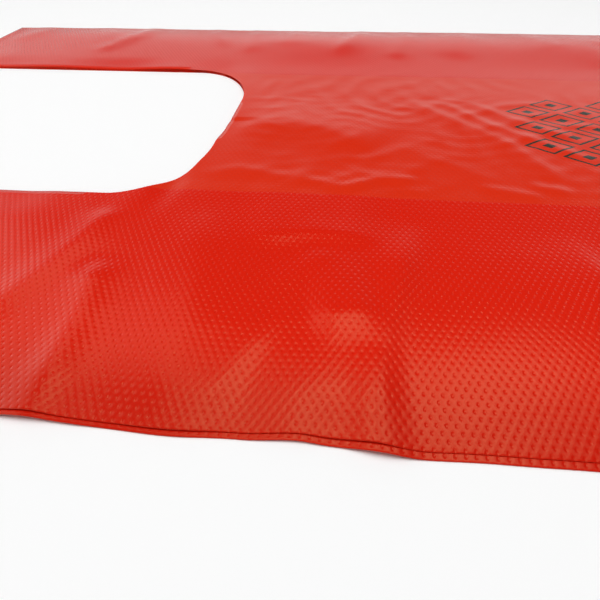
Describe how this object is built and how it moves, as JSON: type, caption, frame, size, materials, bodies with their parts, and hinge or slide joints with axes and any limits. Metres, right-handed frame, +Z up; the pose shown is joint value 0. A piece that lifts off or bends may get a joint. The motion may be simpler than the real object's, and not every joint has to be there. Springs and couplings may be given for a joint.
{
  "type": "t-shirt bag",
  "caption": "Flat gusseted carrier bag of thin embossed red film, with two die-cut loop handles, a wide notch between them and welded ends.",
  "frame": {"origin": "middle of the bag's footprint, on the surface that its back panel lies on", "axes": "+X along the bag from the handle tops to the bottom weld, +Y across its width, +Z up through its layers"},
  "size_m": [0.55, 0.3034, 0.0046],
  "materials": {
    "red_film": "thin satin polyethylene film with a fine embossed dimple pattern, warm red, with a small dark plain print"
  },
  "bodies": {
    "root": {"bag_film": "red_film"}
  },
  "joints": []
}
